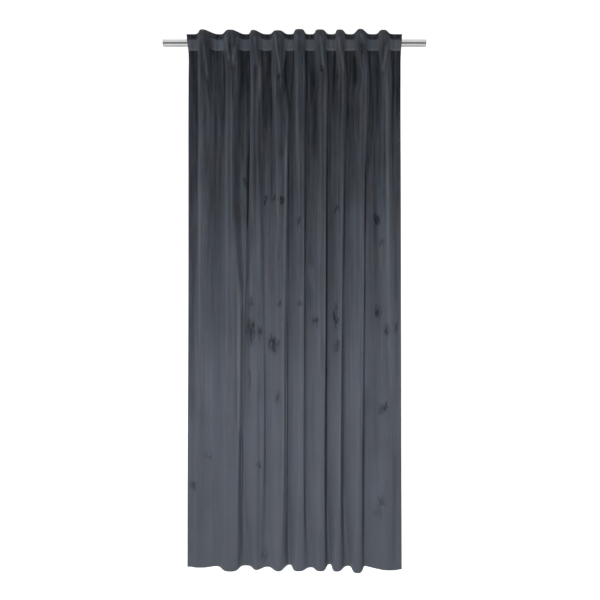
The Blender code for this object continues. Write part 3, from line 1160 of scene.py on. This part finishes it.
def stitches(name, beads):
    """One mesh of many stitches, each closed at both ends."""
    points, faces = [], []
    for start, end, out in beads:
        first = len(points)
        points += [tuple(p) for p in bead(start, end, out)]
        rings = range(first, len(points), BEAD_SIDES)
        for low, high in zip(rings, rings[1:]):
            for corner in range(BEAD_SIDES):
                following = (corner + 1) % BEAD_SIDES
                faces.append((low + corner, low + following, high + following, high + corner))
        faces.append(tuple(rings[0] + corner for corner in reversed(range(BEAD_SIDES))))
        faces.append(tuple(rings[-1] + corner for corner in range(BEAD_SIDES)))
    mesh = bpy.data.meshes.new(name)
    mesh.from_pydata(points, [], faces)
    mesh.shade_smooth()
    obj = add_piece(name, mesh, [THREAD])
    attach(obj, "root")
    return obj


print("thread:", THREAD.name, " stitch:", STITCH, "m")

# %% Strap seams
SEAM_STITCHES = 8
SEAM_LINES = (UPPER_STITCH + 0.0115, UPPER_STITCH + 0.0035, LOWER_STITCH - 0.003, LOWER_STITCH - 0.011)


def seam_beads():
    """Stitches through each strap's two ends, behind on the strap and in front in the pile."""
    beads = []
    pitch = STITCH + STITCH_GAP
    starts = (np.arange(SEAM_STITCHES) - SEAM_STITCHES / 2) * pitch + STITCH_GAP / 2
    for centre in strap_centres():
        rows = []
        for z in SEAM_LINES:
            rows.append((np.interp(z, *strap_end(z > 0)) + STRAP_THICKNESS / 2, z, 1))
        for z in (UPPER_STITCH, LOWER_STITCH):
            nearest = cloth[int(np.argmin(abs(HEIGHTS - z)))]
            column = int(np.argmin(abs(nearest[:, 0] - centre)))
            rows.append((nearest[column, 1] - FACE_RISE, z, -1))
        for y, z, out in rows:
            for x in starts:
                beads.append(((centre + x, y, z), (centre + x + STITCH, y, z), (0, out, 0)))
    return beads


def strap_end(top):
    """The heights and depths of a strap's upper or lower end, for reading off its depth."""
    part = STRAP_LINE[:8] if top else STRAP_LINE[-12:]
    order = np.argsort(part[:, 1])
    return part[order, 1], part[order, 0]


seams = seam_beads()
seam_thread = stitches("seam_thread", seams)
print("seam stitches:", len(seams))

# %% Hem thread
HEM_PITCH = 0.006


def place_on(row, distance):
    """The value of a row of the cloth at a distance along it."""
    return np.array([np.interp(distance, ACROSS, row[:, k]) for k in range(3)])


def hem_beads():
    """A line of short stitches behind the top of the hem, following the folds."""
    row = int(np.argmin(abs(HEIGHTS - (HEM + HEM_DEPTH - 0.004))))
    normal = normals_of(cloth)[row]
    line = cloth[row] + normal * FACE_RISE - normal * PANEL_THICKNESS
    beads = []
    for start in np.arange(0.010, FLAT_WIDTH - 0.010, HEM_PITCH):
        out = -place_on(normal, start)
        beads.append((place_on(line, start), place_on(line, start + STITCH), out / np.linalg.norm(out)))
    return beads


hems = hem_beads()
hem_thread = stitches("hem_thread", hems)
print("hem stitches:", len(hems))

# %% [markdown]
# What was cut is the panel with its hem and heading unfolded, and each strap as a short length of tape. The
# count of these sheets is printed.

print("sheets:", 1 + len(straps))

# %% [markdown]
# A plain pale studio: a floor that curves up into a backdrop, both so bright that they read as clean
# white. Three soft panels light the cloth from in front, the strongest of them low, because the cloth is
# lighter towards its hem. One panel behind lights its back, and a faint glow all round softens the
# shadows.

# %% Studio floor
FLOOR = HEM - 0.28
SWEEP_HALF = 9.0
SWEEP_BACK = 3.0
SWEEP_BEND = 1.5
BEND_STEPS = 12
SEEN_GLOW = 0.8
MIRRORED_GLOW = 0.12
CAST_GLOW = 0.10


def studio_sweep():
    """A floor and backdrop in one curved sheet."""
    profile = [(-SWEEP_HALF, FLOOR), (SWEEP_BACK, FLOOR)]
    for step in range(1, BEND_STEPS + 1):
        turn = math.pi / 2 * step / BEND_STEPS
        rise = SWEEP_BEND * (1 - math.cos(turn))
        profile.append((SWEEP_BACK + SWEEP_BEND * math.sin(turn), FLOOR + rise))
    profile.append((SWEEP_BACK + SWEEP_BEND, FLOOR + SWEEP_HALF))
    points = np.array([[(x, y, z) for x in (-SWEEP_HALF, SWEEP_HALF)] for y, z in profile])
    mesh = cloth_mesh("studio sweep", points, [0, 1], range(len(profile)))
    colours = {"Base_Color": (0.85, 0.85, 0.85, 1), "Emission_Color": (1, 1, 1, 1)}
    look, tree, shader = finish("studio white", 0.9, Specular_IOR_Level=0.0, **colours)
    ray = tree.nodes.new("ShaderNodeLightPath")
    glow = math_node(tree, "MULTIPLY", ray.outputs["Is Camera Ray"], SEEN_GLOW)
    glow = math_node(tree, "MULTIPLY_ADD", ray.outputs["Is Glossy Ray"], MIRRORED_GLOW, glow)
    glow = math_node(tree, "MULTIPLY_ADD", ray.outputs["Is Diffuse Ray"], CAST_GLOW, glow)
    tree.links.new(glow, shader.inputs["Emission Strength"])
    obj = add_piece("studio_sweep", mesh, [look])
    return obj


studio_sweep()
print("floor at", round(FLOOR, 3), "m")

# %% Light
BOARD_GLOW = 0.16
AIR_GLOW = 0.25
MIRRORED_AIR = 0.55
SEEN_AIR = 0.75


def soft_panel(name, place, aim, size, power):
    """A rectangular light that faces a point."""
    data = bpy.data.lights.new(name, "AREA")
    data.shape = "RECTANGLE"
    data.size, data.size_y = size
    data.energy = power
    obj = bpy.data.objects.new(name, data)
    obj.location = place
    direction = np.array(aim, float) - np.array(place, float)
    flat = math.hypot(direction[0], direction[1])
    obj.rotation_euler = (math.atan2(flat, -direction[2]), 0, math.atan2(-direction[0], direction[1]))
    bpy.context.scene.collection.objects.link(obj)
    return obj


back = soft_panel("back light", (-0.6, 2.9, 0.2), (0, 0, -1.2), (2.4, 2.4), 40)
front = soft_panel("front light", (-0.10, -2.7, -1.9), (0, 0, -1.75), (0.5, 1.0), 68)
left = soft_panel("left light", (-3.0, -1.8, -0.9), (0, 0, -1.4), (1.4, 2.0), 10)
top = soft_panel("top light", (0.3, -1.6, 1.6), (0, 0, -0.2), (2.0, 1.0), 3)
lamps = (back, front, left, top)
for lamp in lamps:
    lamp.visible_glossy = False


def dark_card():
    """A dark board that only the polished tube sees, and that draws the dark line along it."""
    points = np.array([[(x, -3.2, z) for x in (-5.0, 5.0)] for z in (-2.4, 0.6)])
    glow = {"Emission_Color": (1, 1, 1, 1), "Emission_Strength": BOARD_GLOW}
    dark = (0.02, 0.02, 0.02, 1)
    look = finish("dark board", 0.9, Specular_IOR_Level=0.0, Base_Color=dark, **glow)[0]
    obj = add_piece("dark_board", cloth_mesh("dark board", points, [0, 1], [0, 1]), [look])
    for ray in ("visible_camera", "visible_diffuse", "visible_transmission", "visible_shadow"):
        setattr(obj, ray, False)
    return obj


dark_card()
world = bpy.data.worlds.new("studio air")
world.use_nodes = True
air = world.node_tree
air.nodes["Background"].inputs["Color"].default_value = (1, 1, 1, 1)
path = air.nodes.new("ShaderNodeLightPath")
glow = math_node(air, "MULTIPLY_ADD", path.outputs["Is Glossy Ray"], MIRRORED_AIR, AIR_GLOW)
glow = math_node(air, "MULTIPLY_ADD", path.outputs["Is Camera Ray"], SEEN_AIR, glow)
air.links.new(glow, air.nodes["Background"].inputs["Strength"])
bpy.context.scene.world = world
bpy.context.scene.view_settings.view_transform = "Standard"
print("lights:", len(lamps))
